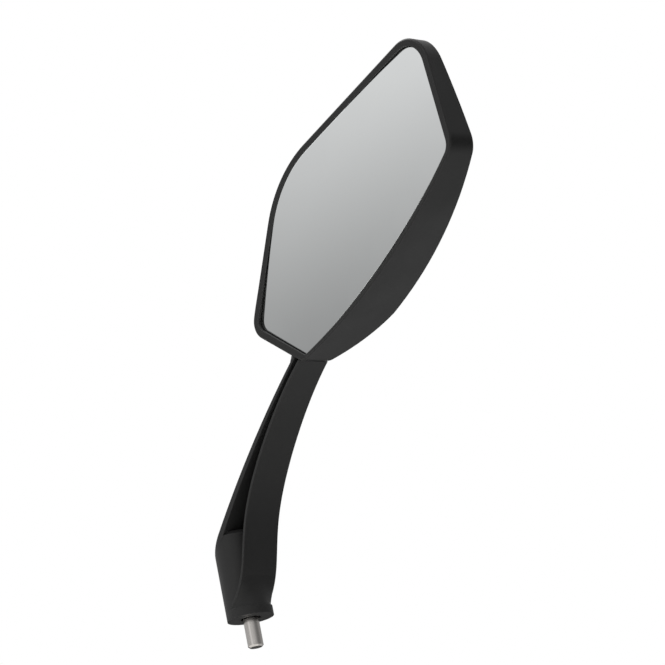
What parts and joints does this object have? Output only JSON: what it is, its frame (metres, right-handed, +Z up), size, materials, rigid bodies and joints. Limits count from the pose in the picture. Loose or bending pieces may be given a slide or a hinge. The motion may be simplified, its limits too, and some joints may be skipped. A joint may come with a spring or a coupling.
{
  "type": "motorcycle mirror",
  "caption": "Right-hand motorcycle mirror: five-cornered black head with a convex glass, on a bent open-channel arm with a plain mounting stud under its round foot.",
  "frame": {"origin": "centre of the foot's seat face, on the stud's axis", "axes": "+Z up the stud's axis into the arm, +X outboard, -Y the way the glass looks (to the rider)"},
  "size_m": [0.2241, 0.0352, 0.2592],
  "materials": {
    "arm_paint": "die-cast aluminium with black satin paint",
    "housing_plastic": "black satin moulding",
    "silvered_glass": "silvered convex glass",
    "bright_steel": "bright zinc plated",
    "nylon": "natural nylon",
    "foam_tape": "foam tape"
  },
  "bodies": {
    "stem": {"mirror_arm": "arm_paint", "mounting_stud": "bright_steel", "pivot_pin": "bright_steel", "seam_washer": "nylon", "stop_washer": "bright_steel", "disc_spring": "bright_steel", "pivot_nut": "bright_steel"},
    "head": {"mirror_housing": "housing_plastic", "mirror_glass": "silvered_glass", "glass_tape": "foam_tape", "pivot_bush": "nylon"}
  },
  "joints": [
    {"name": "head_swivel", "type": "hinge", "parent": "stem", "child": "head", "pos_m": [0.07214, 0.001, 0.11658], "axis": [0.6165, 0, 0.7874], "range_deg": [-25, 25]}
  ]
}
